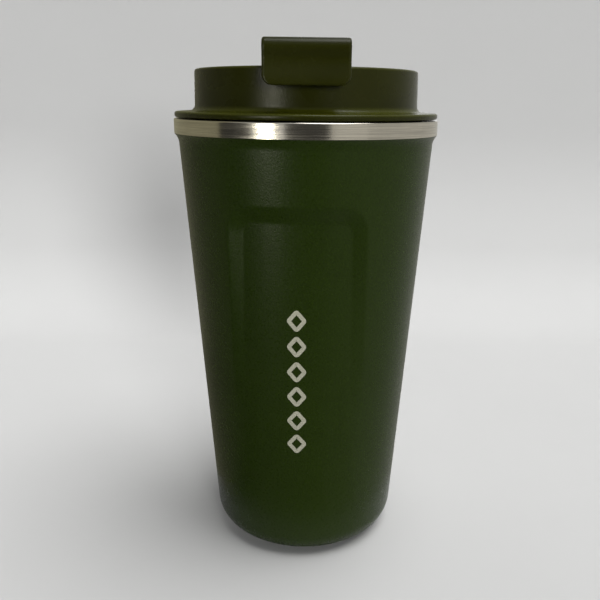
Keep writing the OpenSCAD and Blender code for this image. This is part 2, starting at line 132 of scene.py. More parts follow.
class MugSizes(bpy.types.PropertyGroup):
    """Sizes of the visible surfaces."""

    base_r: length("Foot radius", "Radius that the tapered wall has at its foot", 33.3)
    sheet: length("Sheet", "Thickness of the pressed steel", 0.6)
    corner_r: length("Foot corner", "Radius where the wall turns into the base", 9.0)
    foot_hole_r: length("Foot hole", "Radius of the hole in the painted base", 21.0)
    flare_w: length("Flare width", "How far the wall flares out to the band", 1.5)
    flare_h: length("Flare height", "Height of the flare under the band", 3.6)
    band_t: length("Band", "Thickness of the bare steel band", 0.8)
    wall_space: length("Wall space", "Clear space between the two walls", 3.6)
    mouth_r: length("Mouth", "Inner radius of the mouth", 40.2)
    mouth_h: length("Mouth depth", "Depth of the straight part of the mouth", 18.8)
    mouth_slope: length("Mouth slope", "Height of the slope under the mouth", 3.4)
    grip_turn: angle("Grip turn", "Turn of the grip panels from the front", -4.0)
    grip_half: length("Grip half width", "Half width of a grip panel, with its sloping edge", 23.4)
    grip_depth: length("Grip depth", "Depth of a grip panel at its top", 2.0)
    grip_low: length("Grip low", "Height at which a panel runs out", 55.0)
    grip_high: length("Grip high", "Height of the top of a panel's floor", 122.0)
    grip_edge: length("Grip edge", "Width of the slope round a panel", 5.3)
    grip_corner: length("Grip corner", "Corner radius of a panel's outline", 9.0)
    mark_low: length("Marks low", "Height of the lowest etched mark's tip", 43.0)
    mark_high: length("Marks high", "Height of the highest etched mark's tip", 96.0)
    mark_w: length("Mark width", "Width of an etched mark", 6.6)
    mark_line: length("Mark line", "Width of an etched line", 1.35)
    collar_r: length("Collar", "Outer radius of the lid's collar", 37.9)
    collar_t: length("Collar wall", "Wall of the lid's collar", 2.0)
    flange_t: length("Flange", "Thickness of the lid's flange", 2.0)
    deck_t: length("Deck", "Thickness of the lid's deck", 2.0)
    drink_r: length("Drinking hole", "Radius of the drinking hole", 5.0)
    vent_r: length("Air hole", "Radius of the air hole", 1.0)
    plug_r: length("Plug", "Outer radius of the threaded plug", 37.4)
    plug_t: length("Plug wall", "Wall of the threaded plug", 2.6)
    thread_lead: length("Thread lead", "Rise of the thread in one turn", 12.0)
    thread_arc: angle("Thread arc", "Angle that each ridge covers", 100.0)
    tab_t: length("Tab", "Thickness of the lever's tab", 2.3)
    tab_h: length("Tab height", "Height of the lever's tab", 13.2)
    tab_kick: length("Tab kick", "How far the tab's lip stands out", 1.2)
    tab_top_r: length("Tab top", "Radius of the tab's top edge", 2.8)
    tab_corner_r: length("Tab corner", "Radius of the tab's lower corners", 3.0)
    knuckle_r: length("Knuckle", "Radius of the lever's knuckle", 3.0)
    knuckle_half: length("Knuckle half width", "Half width of the lever at its hinge", 9.0)


class MugColours(bpy.types.PropertyGroup):
    """Colours and roughness of the finishes."""

    paint: colour("Powder coat", "Green of the powder coat", (0.0108, 0.0202, 0.0009))
    paint_rough: amount("Powder coat roughness", "Roughness of the powder coat", 0.30)
    plastic: colour("Lid plastic", "Olive green of the lid and lever", (0.0128, 0.0140, 0.0007))
    plastic_rough: amount("Lid roughness", "Roughness of the lid's plastic", 0.27)
    steel: colour("Steel", "Colour of the bare steel", (0.62, 0.58, 0.51))
    etched: colour("Etched steel", "Colour of the etched marks", (0.40, 0.395, 0.31))
    silicone: colour("Silicone", "Colour of the seals and stoppers", (0.045, 0.047, 0.040))
    pad: colour("Pad", "Colour of the non-slip pad", (0.05, 0.05, 0.046))


class MugStudio(bpy.types.PropertyGroup):
    """The camera and the studio."""

    eye_distance: length("Camera distance", "Distance from the mug's axis", 245.8)
    eye_height: length("Camera height", "Height above the floor", 158.7)
    eye_pitch: angle("Camera pitch", "How far the camera looks down", 16.16)
    eye_yaw: angle("Camera yaw", "How far the camera looks aside", 1.03)
    eye_roll: angle("Camera roll", "How far the camera is tilted", 0.63)
    eye_shift: number("Camera shift", "Sideways shift, in frame widths", -0.0284)
    lens: number("Lens", "Focal length for a 36 mm sensor", 41.19, unit="CAMERA")
    floor_colour: colour("Floor", "Colour of the floor", (0.575, 0.575, 0.57))
    wall_colour: colour("Backdrop", "Colour of the backdrop", (0.49, 0.49, 0.485))


# ---- outlines

def arc(centre, radius, start, end, steps):
    """Points on a circle about centre, from angle start to angle end, in degrees."""
    a = np.radians(np.linspace(start, end, steps + 1))
    return np.stack([centre[0] + radius * np.cos(a), centre[1] + radius * np.sin(a)], axis=1)


def filleted(corners, steps=5, closed=True):
    """An outline through (x, y, radius) corners, each turned into an arc tangent to both of its edges.

    The tangent points lie radius / tan(half the corner's angle) from the corner, never past half an edge."""
    points = np.array([c[:2] for c in corners], float)
    count = len(points)
    out = []
    for i, corner in enumerate(corners):
        here = points[i]
        if not closed and i in (0, count - 1):
            out.append(here[None])
            continue
        to_last, to_next = points[i - 1] - here, points[(i + 1) % count] - here
        last_len, next_len = np.linalg.norm(to_last), np.linalg.norm(to_next)
        to_last, to_next = to_last / last_len, to_next / next_len
        half = math.acos(float(np.clip(to_last @ to_next, -1, 1))) / 2
        if corner[2] <= 0 or half > STRAIGHT:
            out.append(here[None])
            continue
        reach = min(corner[2] / math.tan(half), EDGE_SHARE * last_len, EDGE_SHARE * next_len)
        radius = reach * math.tan(half)
        centre = here + (to_last + to_next) / np.linalg.norm(to_last + to_next) * radius / math.sin(half)
        t = np.linspace(0, 1, steps + 1)[:, None]
        first, last = here + to_last * reach - centre, here + to_next * reach - centre
        sweep = math.pi - 2 * half
        ring = (np.sin((1 - t) * sweep) * first + np.sin(t * sweep) * last) / math.sin(sweep) + centre
        spare = min(FLAT_SPARE, 0.3 * (min(last_len, next_len) / 2 - reach) + 1e-6)
        out.append(np.vstack([ring[:1] + to_last * spare, ring, ring[-1:] + to_next * spare]))
    return np.vstack(out)


def normals(outline):
    """Unit normals of a closed outline: to the right of its run, outwards where it runs anticlockwise."""
    along = np.roll(outline, -1, axis=0) - np.roll(outline, 1, axis=0)
    along /= np.linalg.norm(along, axis=1)[:, None]
    return np.stack([along[:, 1], -along[:, 0]], axis=1)


def spread(values, step):
    """Heights from the first value to the last, through each value, no further apart than step."""
    parts = [np.linspace(a, b, max(2, int(math.ceil(abs(b - a) / step)) + 1))[:-1]
             for a, b in zip(values[:-1], values[1:])]
    return np.append(np.concatenate(parts), values[-1])


def smooth(t):
    """Eases from 0 to 1: 3t squared minus 2t cubed, held outside 0 to 1."""
    t = np.clip(t, 0, 1)
    return t * t * (3 - 2 * t)


def ramp(t, ease):
    """A straight ramp from 0 to 1 whose ends are eased by arcs over the given part of its length."""
    t = np.clip(t, 0, 1)
    ends = np.minimum(t, 1 - t)
    rise = np.where(ends < ease, ends ** 2 / (2 * ease), ends - ease / 2) / (1 - ease)
    return np.where(t < 0.5, rise, 1 - rise)


# ---- meshes

def xyz(x, y, z):
    """Points from three grids of coordinates."""
    return np.stack(np.broadcast_arrays(x, y, z), axis=-1)


def polar(radius, t, z, centre=(0, 0)):
    """Points at x = radius cos t and y = radius sin t from centre, at height z."""
    return xyz(centre[0] + radius * np.cos(t), centre[1] + radius * np.sin(t), z)


def grid_faces(rows, columns, wrap_rows=False, wrap_columns=False):
    """Quads of a grid whose vertex (i, j) has the index i * columns + j."""
    i = np.arange(rows if wrap_rows else rows - 1)
    j = np.arange(columns if wrap_columns else columns - 1)
    i, j = np.meshgrid(i, j, indexing="ij")
    i2, j2 = (i + 1) % rows, (j + 1) % columns
    return np.stack([i * columns + j, i * columns + j2, i2 * columns + j2, i2 * columns + j],
                    axis=-1).reshape(-1, 4)


def signed_volume(points, groups):
    """Six times the volume that the faces enclose: positive when they point outwards."""
    total = 0.0
    for faces in groups:
        corner = points[faces]
        for k in range(1, faces.shape[1] - 1):
            total += np.einsum("ij,ij->", corner[:, 0], np.cross(corner[:, k], corner[:, k + 1]))
    return total


def solid(name, parts, material):
    """Makes one object from closed parts, each (points, [arrays of faces]), and turns every part outwards."""
    points, sizes, loops, count = [], [], [], 0
    for part_points, groups in parts:
        flip = signed_volume(part_points, groups) < 0
        for faces in groups:
            faces = faces[:, ::-1] if flip else faces
            sizes.append(np.full(len(faces), faces.shape[1]))
            loops.append((faces + count).ravel())
        points.append(part_points)
        count += len(part_points)
    points, sizes, loops = np.vstack(points), np.concatenate(sizes), np.concatenate(loops)
    mesh = bpy.data.meshes.new(name)
    mesh.vertices.add(len(points))
    mesh.vertices.foreach_set("co", points.astype(np.float32).ravel())
    mesh.loops.add(len(loops))
    mesh.loops.foreach_set("vertex_index", loops.astype(np.int32))
    mesh.polygons.add(len(sizes))
    mesh.polygons.foreach_set("loop_start", np.concatenate([[0], np.cumsum(sizes)[:-1]]).astype(np.int32))
    mesh.update(calc_edges=True)
    mesh.polygons.foreach_set("use_smooth", np.ones(len(sizes), bool))
    mesh.set_sharp_from_angle(angle=math.radians(SHARP_EDGE))
    mesh.materials.append(material)
    made = bpy.data.objects.new(name, mesh)
    bpy.context.scene.collection.objects.link(made)
    return made


def mesh_piece(name, parts, body, look, replaces=()):
    """Makes a piece of the mug with a named finish, which rides a body and may replace frame nodes."""
    piece = solid(name, parts, finish(look))
    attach(piece, body)
    if replaces:
        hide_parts(*replaces)
    return piece


def turned(outline, centre=(0, 0), steps=AROUND, shift=None):
    """A profile of (radius, height) points turned about a vertical axis through centre.

    Ends on the axis become single points; otherwise the profile closes on itself. shift(t, height) is taken
    off the radius."""
    on_axis = [outline[0, 0] < ON_AXIS, outline[-1, 0] < ON_AXIS]
    ring = outline[1 if on_axis[0] else 0:len(outline) - 1 if on_axis[1] else None]
    t = np.linspace(0, TURN, steps, endpoint=False)[None]
    radius, height = np.broadcast_arrays(ring[:, :1], ring[:, 1:] + 0 * t)
    if shift:
        radius = radius - shift(t, height)
    points = polar(radius, t, height, centre).reshape(-1, 3)
    faces = [grid_faces(len(ring), steps, not any(on_axis), True)]
    j = np.arange(steps)
    for end, row, order in ((0, 0, 1), (-1, len(ring) - 1, -1)):
        if on_axis[end]:
            fan = np.stack([np.full(steps, len(points)), row * steps + (j + 1) % steps, row * steps + j], 1)
            faces.append(fan[:, ::order])
            points = np.vstack([points, [[*centre, outline[end, 1]]]])
    return points, faces


def turning(corners, bends=4, steps=AROUND, centre=(0, 0)):
    """Turns a profile of (radius, height, fillet) corners; one that starts on the axis is left open there."""
    return turned(filleted(corners, bends, closed=corners[0][0] > 0), centre, steps)


def across(part):
    """Lays a part turned about the vertical along the hinge's axis."""
    points, faces = part
    return xyz(points[:, 2], points[:, 0] + HINGE[1], points[:, 1] + HINGE[2]), faces


def swept(sections):
    """Joins closed sections, an array (stations, points, 3), into a tube, with a flat face over each end."""
    stations, count, _ = sections.shape
    j = np.arange(count)[None]
    return sections.reshape(-1, 3), [grid_faces(stations, count, wrap_columns=True), j,
                                     (stations - 1) * count + j[:, ::-1]]


def thread_ridges(root, crest, height, mug):
    """Ridges on a helix: at angle t a rounded trapezium stands on radius root, at height + lead t / turn.

    Each fades into the wall over the last tenth of its length."""
    along = np.linspace(-0.5, 0.5, 49)[:, None]
    t = along * mug.thread_arc
    fade = smooth((0.5 - np.abs(along)) / 0.1)
    stand = np.array([0, 0.55, 0.9, 1, 1, 0.9, 0.55, 0])
    level = np.array([-1, -0.74, -0.56, -0.4, 0.4, 0.56, 0.74, 1]) * MM
    radius = root + (crest - root) * stand * (0.02 + 0.98 * fade)
    z = height + mug.thread_lead * t / TURN + level
    return [swept(polar(radius, t + start * TURN / THREAD_STARTS, z)) for start in range(THREAD_STARTS)]


# ---- finishes

def feed(tree, socket, value):
    """Links a node's output into a socket, or sets a value on it; a colour is given as three numbers."""
    if isinstance(value, bpy.types.NodeSocket):
        tree.links.new(value, socket)
    else:
        socket.default_value = (*value, 1.0) if socket.type == "RGBA" else value


def node(tree, kind, output, *inputs, **named):
    """Adds a shader node, feeds its inputs in order or by name, and gives one of its outputs."""
    made = tree.nodes.new("ShaderNode" + kind)
    for socket, value in zip(made.inputs, inputs):
        feed(tree, socket, value)
    for name, value in named.items():
        feed(tree, made.inputs[name.replace("_", " ")], value)
    return made.outputs[output]


class Finish:
    """A node material with one Principled shader, built from small named steps."""

    def __init__(self, name):
        self.material = bpy.data.materials.new(name)
        self.material.use_nodes = True
        self.tree = self.material.node_tree
        self.place = self.node("TexCoord", "Object")

    def node(self, kind, output, **inputs):
        """Adds a node to this material and gives one of its outputs."""
        return node(self.tree, kind, output, **inputs)

    def shaded(self, **inputs):
        """Feeds the shader's sockets, such as Specular_IOR_Level=0.5, and gives the material."""
        for name, value in inputs.items():
            feed(self.tree, self.tree.nodes["Principled BSDF"].inputs[name.replace("_", " ")], value)
        return self.material

    def upward(self, vector):
        """The Z part of a vector."""
        return self.node("SeparateXYZ", "Z", Vector=vector)

    def noise(self, size, detail=2.0):
        """Noise whose features are about size metres across."""
        return self.node("TexNoise", "Fac", Vector=self.place, Scale=1.0 / size, Detail=detail)

    def lines(self, scale, detail, roughness=0.5):
        """Noise in coordinates stretched by scale along each axis."""
        stretched = self.node("Mapping", "Vector", Vector=self.place, Scale=scale)
        return self.node("TexNoise", "Fac", Vector=stretched, Scale=1.0, Detail=detail, Roughness=roughness)

    def ranged(self, value, low_out, high_out, low_in=0.3, high_in=0.7):
        """Maps a value from one range, by default that of a noise, to another, held at both ends."""
        return self.node("MapRange", "Result", Value=value, From_Min=low_in, From_Max=high_in,
                         To_Min=low_out, To_Max=high_out)

    def mixed(self, factor, first, second):
        """Mixes two colours; each may be a colour or another step's output."""
        mix = self.tree.nodes.new("ShaderNodeMix")
        mix.data_type = "RGBA"
        first_socket, second_socket = [s for s in mix.inputs if s.type == "RGBA"]
        for socket, value in ((mix.inputs["Factor"], factor), (first_socket, first), (second_socket, second)):
            feed(self.tree, socket, value)
        return [s for s in mix.outputs if s.type == "RGBA"][0]

    def bumped(self, *layers):
        """Stacks bump layers, each (height, strength, depth in metres), and gives the material."""
        last = {}
        for height, strength, depth in layers:
            last = {"Normal": self.node("Bump", "Normal", Height=height, Strength=strength, Distance=depth,
                                        **last)}
        return self.shaded(**last)


def tinted(colour_value, factor):
    """A colour made lighter or darker by a factor."""
    return tuple(min(1.0, c * factor) for c in colour_value)


def powder_coat(name, colours):
    """Dark green powder coat: a fine grain in height, colour and gloss over a faint unevenness."""
    look = Finish(name)
    base, rough = colours.paint, colours.paint_rough
    grain, cloud, fleck = look.noise(0.42 * MM, 3.0), look.noise(14 * MM), look.noise(0.8 * MM, 1.0)
    tone = look.mixed(look.ranged(grain, 0, 1, 0.35, 0.68), tinted(base, 0.80), tinted(base, 1.22))
    look.shaded(Base_Color=look.mixed(look.ranged(cloud, 0, 0.35), tone, tinted(base, 1.12)),
                Roughness=look.ranged(fleck, rough - 0.05, rough + 0.06), Specular_IOR_Level=0.17)
    return look.bumped((grain, 0.7, 0.09 * MM), (look.noise(2.4 * MM), 0.25, 0.06 * MM))


def lid_plastic(name, colours, dust_and_top_light=0.0):
    """Olive moulded plastic with a fine spark-eroded texture and slight unevenness in its gloss.

    The last argument sets how far the faces that look up are lightened: painted light from above."""
    look = Finish(name)
    base, rough = colours.plastic, colours.plastic_rough
    grain, cloud = look.noise(0.30 * MM), look.noise(9 * MM, 3.0)
    tone = look.mixed(look.ranged(cloud, 0, 1), tinted(base, 0.92), tinted(base, 1.08))
    tone = look.mixed(look.ranged(grain, 0, 0.3, 0.3, 0.75), tone, tinted(base, 1.3))
    # painted top light: faces that look up are lightened towards a pale olive
    if dust_and_top_light:
        facing_up = look.upward(look.node("TexCoord", "Normal"))
        tone = look.mixed(look.ranged(facing_up, 0, dust_and_top_light, 0.1, 0.8), tone, tinted(base, 3.2))
    look.shaded(Base_Color=tone, Roughness=look.ranged(cloud, rough - 0.04, rough + 0.05),
                Specular_IOR_Level=0.14)
    return look.bumped((grain, 0.5, 0.08 * MM), (look.noise(1.1 * MM), 0.3, 0.05 * MM))


def brushed_steel(name, colours):
    """Bare steel with brush lines that run level round it, so the noise is stretched flat."""
    look = Finish(name)
    base, rough, line = colours.steel, 0.11, 0.25 * MM
    lines, smear = look.lines((40, 40, 1 / line), 4.0, 0.65), look.noise(6 * MM, 3.0)
    tone = look.mixed(look.ranged(lines, 0, 1), tinted(base, 0.66), tinted(base, 1.2))
    tangent = look.node("Tangent", "Tangent")
    tangent.node.direction_type, tangent.node.axis = "RADIAL", "Z"
    look.shaded(Base_Color=look.mixed(look.ranged(smear, 0, 0.3, 0.35, 0.7), tone, tinted(base, 0.7)),
                Roughness=look.ranged(lines, rough - 0.05, rough + 0.09), Metallic=1.0, Anisotropic=0.7,
                Tangent=tangent)
    return look.bumped((lines, 0.2, 0.02 * MM), (smear, 0.04, 0.05 * MM))


def etched_steel(name, colours):
    """Laser-bared steel: pale, matte and faintly lined."""
    look = Finish(name)
    lines = look.lines((900, 900, 6000), 2.0)
    look.shaded(Base_Color=look.mixed(lines, tinted(colours.etched, 0.75), tinted(colours.etched, 1.2)),
                Roughness=look.ranged(lines, 0.45, 0.6), Metallic=0.35)
    return look.bumped((lines, 0.2, 0.02 * MM))


def silicone(name, base):
    """Soft matte rubber with faint dust and a slightly wavy skin."""
    look = Finish(name)
    dust_and_top_light = look.noise(0.7 * MM, 4.0)
    look.shaded(Base_Color=look.mixed(look.ranged(dust_and_top_light, 0, 0.5, 0.55, 0.8), base, tinted(base, 1.9)),
                Roughness=look.ranged(dust_and_top_light, 0.5, 0.68, 0.3, 0.8), Specular_IOR_Level=0.35)
    return look.bumped((look.noise(1.5 * MM), 0.2, 0.05 * MM))


def dull_metal(name, base, rough):
    """Cast or sintered metal and solder glass: speckled and dull."""
    look = Finish(name)
    speck = look.noise(0.5 * MM, 4.0)
    look.shaded(Base_Color=look.mixed(speck, tinted(base, 0.7), tinted(base, 1.3)),
                Roughness=look.ranged(speck, rough - 0.08, rough + 0.08))
    return look.bumped((speck, 0.4, 0.05 * MM))


FINISHES = {  # the material slot of each finish, and what makes it
    "green powder coat": ("powder_coat", powder_coat),
    "olive plastic": ("lid_plastic", lid_plastic),
    # the lid's main moulding, with painted top light on its faces that look up
    "handled olive plastic": ("lid_plastic", lambda name, colours: lid_plastic(name, colours, dust_and_top_light=0.7)),
    "brushed steel": ("bare_steel", brushed_steel),
    "etched steel": ("bare_steel", etched_steel),
    "dark silicone": ("seal_silicone", lambda name, colours: silicone(name, colours.silicone)),
    "pad rubber": ("pad_silicone", lambda name, colours: silicone(name, colours.pad)),
    "brown solder glass": (None, lambda name, colours: dull_metal(name, (0.12, 0.08, 0.05), 0.4)),
    "sintered getter": (None, lambda name, colours: dull_metal(name, (0.28, 0.28, 0.27), 0.6)),
}


def finish(name):
    """The named finish, made the first time that it is asked for."""
    if name not in MADE:
        MADE[name] = FINISHES[name][1](name, bpy.context.scene.mug_colours)
    return MADE[name]


# ---- shapes of the cup

def wall_slope(mug):
    """How much the painted wall's radius grows with each unit of height."""
    return (RIM_R - mug.flare_w - mug.base_r) / (BAND_Z - mug.flare_h - FOOT_Z)


def wall_lean(mug):
    """Angle of the walls from upright."""
    return math.atan(wall_slope(mug))


def side_r(z, mug):
    """Radius of the painted wall at height z, with its grip panels left out."""
    return mug.base_r + wall_slope(mug) * (z - FOOT_Z)


def foot_corner(bottom_z, corner_r, inset, side, steps, mug):
    """The arc from a level bottom into a wall of radius side(z), set in by inset, and its centre's height."""
    lean = wall_lean(mug)
    centre_z = bottom_z + corner_r
    centre_r = side(centre_z) - corner_r / math.cos(lean)
    return arc((centre_r, centre_z), corner_r - inset, -90, -math.degrees(lean), steps), centre_z


def grip_shift(mug):
    """A function of angle and height that gives how far the grip panels press the wall in.

    Across the panel a rounded rectangle is measured: its distance inside the outline, over the width of the
    edge, ramps from 0 to 1 and multiplies a depth that falls evenly to nothing at the panel's foot."""
    top = FOOT_Z + mug.grip_high + mug.grip_edge
    foot = FOOT_Z + mug.grip_low
    share, ease = TURN / 2, 0.14  # one panel in each half turn; the rounded part of its edge

    def shift(t, z):
        """How far the wall is pressed in at angle t and height z."""
        depth = mug.grip_depth * np.clip((z - foot) / (mug.grip_high - mug.grip_low), 0, 1)
        turn = t + TURN / 4 - mug.grip_turn
        around = (turn + share / 2) % share - share / 2
        corner = mug.grip_corner
        dx = np.abs(around) * side_r(z, mug) - (mug.grip_half - corner)
        dz = z - (top - corner)
        outside = np.hypot(np.maximum(dx, 0), np.maximum(dz, 0)) + np.minimum(np.maximum(dx, dz), 0) - corner
        return depth * ramp(-outside / mug.grip_edge, ease)

    return shift


def shell_line(mug, inset, rows):
    """The painted wall's face, set in by inset: foot corner, tapered side and flare."""
    corner, _ = foot_corner(FOOT_Z, mug.corner_r, inset, lambda z: side_r(z, mug), 14, mug)
    neck_z = BAND_Z - mug.flare_h
    half = math.atan(mug.flare_w / mug.flare_h)
    flare_r = mug.flare_h / math.sin(2 * half)
    end = math.degrees(math.asin(mug.flare_h / (flare_r + inset)))
    flare = arc((RIM_R - mug.flare_w + flare_r, neck_z), flare_r + inset, 180, 180 - end, 10)
    side = np.stack([side_r(rows, mug) - inset / math.cos(wall_lean(mug)), rows], axis=1)
    return np.vstack([corner, side, flare])


def painted_wall(mug):
    """The painted shell: the outer line up, the inner line down, turned, with the grip panels pressed in."""
    ledge = FOOT_Z + mug.grip_high
    fine = spread([ledge - 12 * MM, ledge + mug.grip_edge + 1 * MM], 0.55 * MM)
    lower = spread([FOOT_Z + mug.corner_r + 1 * MM, FOOT_Z + mug.grip_low, fine[0]], 2.0 * MM)
    upper = spread([fine[-1], BAND_Z - mug.flare_h - 0.6 * MM], 2.2 * MM)
    outer = shell_line(mug, 0, np.concatenate([lower[:-1], fine, upper[1:]]))
    inner = shell_line(mug, mug.sheet, np.concatenate([lower[:-1:2], fine[::2], upper[1:]]))[::-1]
    hole = arc((mug.foot_hole_r + mug.sheet / 2, FOOT_Z + mug.sheet / 2), mug.sheet / 2, 90, 270, 6)
    return turned(np.vstack([outer, inner, hole]), steps=480, shift=grip_shift(mug))


def inner_cup(mug):
    """The liner: floor, corner, tapered side, slope, straight mouth, lip and band, as one bent sheet."""
    mouth_z = RIM_Z - mug.mouth_h
    slope_z = mouth_z - mug.mouth_slope
    corner_r = 8 * MM

    def inside(z):
        """Inner radius of the tapered side at height z."""
        return side_r(z, mug) - 2 * mug.sheet - mug.wall_space

    def line(out):
        """The liner's inner line up to its mouth, moved outwards by out."""
        corner, centre_z = foot_corner(LINER_Z + mug.sheet, corner_r, -out, inside, 12, mug)
        rows = spread([centre_z + 3 * MM, slope_z], 6 * MM)
        side = np.stack([inside(rows) + out, rows], axis=1)
        return np.vstack([[[0, LINER_Z + mug.sheet - out]], corner, side, [[mug.mouth_r + out, mouth_z]]])

    up, down = line(0), line(mug.sheet)[::-1]
    bend = 0.55 * MM
    lip = filleted([(mug.mouth_r, mouth_z, 0), (mug.mouth_r, RIM_Z, bend), (RIM_R, RIM_Z, bend),
                    (RIM_R, BAND_Z, 0.15 * MM), (RIM_R - mug.band_t, BAND_Z, 0.15 * MM),
                    (RIM_R - mug.band_t, RIM_Z - mug.sheet, bend / 2),
                    (mug.mouth_r + mug.sheet, RIM_Z - mug.sheet, bend / 2),
                    (mug.mouth_r + mug.sheet, mouth_z, 0)], steps=6, closed=False)
    return turned(np.vstack([up, lip[1:-1], down]), steps=360)


def etched_marks(mug):
    """A plain column of open lozenges, bent round the wall and standing 0.03 mm proud of it.

    A point at distance a aside and height z lies at angle a / radius and at the wall's radius."""
    count = 6
    press = grip_shift(mug)
    pitch = (mug.mark_high - mug.mark_low) / count
    half_line, gap, corner = mug.mark_line / 2, 0.6 * MM, 0.5 * MM
    width, height = mug.mark_w / 2 - half_line, pitch / 2 - gap - half_line
    ring = filleted([(width, 0, corner), (0, height, corner), (-width, 0, corner), (0, -height, corner)], 4)
    side = np.array([-1, -0.35, 0.35, 1, 1, -1])
    rise = np.array([0.03, 0.03, 0.03, 0.03, -0.15, -0.15]) * MM
    flat = ring[:, None] + normals(ring)[:, None] * half_line * side[None, :, None]
    parts = []
    for k in range(count):
        z = flat[..., 1] + mug.mark_low + pitch * (k + 0.5)
        t = -TURN / 4 + mug.grip_turn + flat[..., 0] / side_r(z, mug)
        points = polar(side_r(z, mug) - press(t, z) + rise, t, z)
        parts.append((points.reshape(-1, 3), [grid_faces(len(ring), len(side), True, True)]))
    return parts


def foot_pad():
    """The pad: a flat disc with a rounded rim and three shallow grooves pressed into its underside."""
    corners = [(0, PAD_Z, 0), (PAD_R, PAD_Z, 0.1 * MM), (PAD_R, 0, 0.35 * MM)]
    for groove in (19, 13, 7):
        for edge, depth in ((1.0, 0), (0.7, 0.25), (-0.7, 0.25), (-1.0, 0)):
            corners.append(((groove + edge) * MM, depth * MM, 0.08 * MM))
    corners.append((0, 0, 0))
    return turning(corners, 3, 160)


# ---- shapes of the lid

def deck_top(mug):
    """Height of the deck's upper face."""
    return DECK_UNDER_Z + mug.deck_t


def lid_turning(mug):
    """Flange, collar and deck in one profile, from the axis on top, out and back to the axis below."""
    top = FLANGE_Z + mug.flange_t
    inner = mug.collar_r - mug.collar_t
    corners = [(0, deck_top(mug), 0), (inner, deck_top(mug), 0.8 * MM), (inner, COLLAR_Z, 0.6 * MM),
               (mug.collar_r - 0.3 * MM, COLLAR_Z, 1.2 * MM), (mug.collar_r, top, 1.9 * MM),
               (FLANGE_R, top - 0.4 * MM, 0.85 * MM), (FLANGE_R, FLANGE_Z - 0.3 * MM, 0.8 * MM),
               (FLANGE_R - 2 * MM, FLANGE_Z - 0.3 * MM, 0.2 * MM), (FLANGE_R - 2.6 * MM, FLANGE_Z, 0.2 * MM),
               (inner, FLANGE_Z, 0.3 * MM), (inner, DECK_UNDER_Z, 0.3 * MM), (0, DECK_UNDER_Z, 0)]
    return turning(corners, 7, 400)


def hinge_ear(mug, side):
    """An ear: a plate with a round head and straight flanks, drilled for the pin.

    At each angle the outer outline and the drilled circle share a ray, and a rounded rectangle joins them."""
    head = mug.knuckle_r + 0.4 * MM
    bore = PIN_R + 0.02 * MM
    foot = HINGE[2] - deck_top(mug) + 0.5 * MM
    near, edge, tiny = mug.knuckle_half + 0.3 * MM, 0.45 * MM, 1e-6
    a = np.linspace(0, TURN, 120, endpoint=False)[:, None]
    flank = np.minimum(head / np.maximum(np.abs(np.cos(a)), tiny), foot / np.maximum(-np.sin(a), tiny))
    reach = np.where(np.sin(a) >= 0, head, flank)
    outline = filleted([(0, near, 0.1 * MM), (1, near, edge), (1, PIN_HALF, edge), (0, PIN_HALF, 0.1 * MM)], 4)
    radius = bore + (reach - bore) * outline[:, 0]
    points = xyz(side * outline[:, 1], HINGE[1] + radius * np.cos(a), HINGE[2] + radius * np.sin(a))
    return points.reshape(-1, 3), [grid_faces(*radius.shape, True, True)]


def rounded_plate(outline, start, end, edge, to_points):
    """An outline carried from start to end, drawn in by a quarter circle of radius edge at both ends."""
    a = np.radians(np.linspace(0, 90, 5))
    step = edge * (1 - np.cos(a))
    draw = edge * (1 - np.sin(np.append(a, a[::-1])))
    place = np.append(start + step, end - step[::-1])
    flat = outline[None] - normals(outline)[None] * draw[:, None, None]
    return swept(to_points(flat, place[:, None] + 0 * flat[..., 0]))


def stop_rib(mug):
    """The upright rib behind the hinge: its top edge meets the lever's face when it is opened to its limit."""
    limit = next(joint for joint in frame["joints"] if joint["name"] == "lever_hinge")["range_deg"][1]
    lean = math.radians(180 - limit)
    above, half, thick, gap = 2 * MM, 6 * MM, 2.2 * MM, 0.3 * MM
    reach = (above + mug.knuckle_r * math.cos(lean)) / math.sin(lean)
    front = HINGE[1] + reach * math.cos(lean) + mug.knuckle_r * math.sin(lean) + gap
    foot, top = DECK_UNDER_Z + 1 * MM, HINGE[2] + above
    outline = filleted([(-half, foot, 0.2 * MM), (half, foot, 0.2 * MM), (half, top, 0.7 * MM),
                        (-half, top, 0.7 * MM)])
    return rounded_plate(outline, front, front + thick, 0.4 * MM,
                         lambda flat, y: xyz(flat[..., 0], y, flat[..., 1]))


def plug_skirt(mug):
    """The threaded plug's skirt, with its spigot up to the deck and the bead that keeps the seal."""
    inner = mug.plug_r - mug.plug_t
    spigot = mug.collar_r - mug.collar_t - 0.02 * MM
    bead_z = SEAL_LOW_Z - 0.8 * MM
    bead_r = mug.plug_r + 0.9 * MM
    corners = [(inner, PLUG_Z, 0.6 * MM), (mug.plug_r, PLUG_Z, 0.7 * MM),
               (mug.plug_r, bead_z - 0.4 * MM, 0.1 * MM), (bead_r, bead_z, 0.2 * MM),
               (bead_r, bead_z + 0.5 * MM, 0.15 * MM), (mug.plug_r, bead_z + 0.5 * MM, 0.05 * MM),
               (mug.plug_r, FLANGE_Z, 0), (spigot, FLANGE_Z, 0), (spigot, DECK_UNDER_Z, 0.1 * MM),
               (inner, DECK_UNDER_Z, 0.3 * MM)]
    return turning(corners)


def thread_middle(mug):
    """Height of the middle of the plug's ridges."""
    return PLUG_Z + 1.4 * MM + mug.thread_lead * mug.thread_arc / TURN / 2


